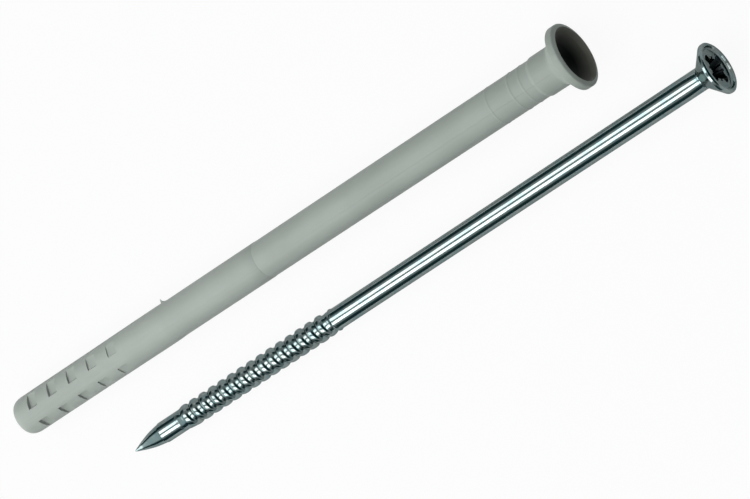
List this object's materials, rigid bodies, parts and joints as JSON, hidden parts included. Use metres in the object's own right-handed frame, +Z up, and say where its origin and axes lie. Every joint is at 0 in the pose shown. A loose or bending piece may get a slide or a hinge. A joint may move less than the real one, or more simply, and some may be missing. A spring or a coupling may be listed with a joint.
{
  "type": "nail plug",
  "caption": "Plastic wall plug sleeve with a countersunk collar, shown with its separate threaded nail with cross recess.",
  "frame": {"origin": "middle of the outline of the two lying pieces, on the surface that they lie on", "axes": "+X along the pieces from their tips to their heads, +Y from the nail towards the sleeve, +Z up"},
  "size_m": [0.1606, 0.0264, 0.0126],
  "materials": {
    "sleeve_plastic": "fine satin, moulded grey polyamide or polyethylene",
    "nail_steel": "bright zinc-plated steel"
  },
  "bodies": {
    "root": {"plug_sleeve": "sleeve_plastic", "nail_screw": "nail_steel"}
  },
  "joints": []
}
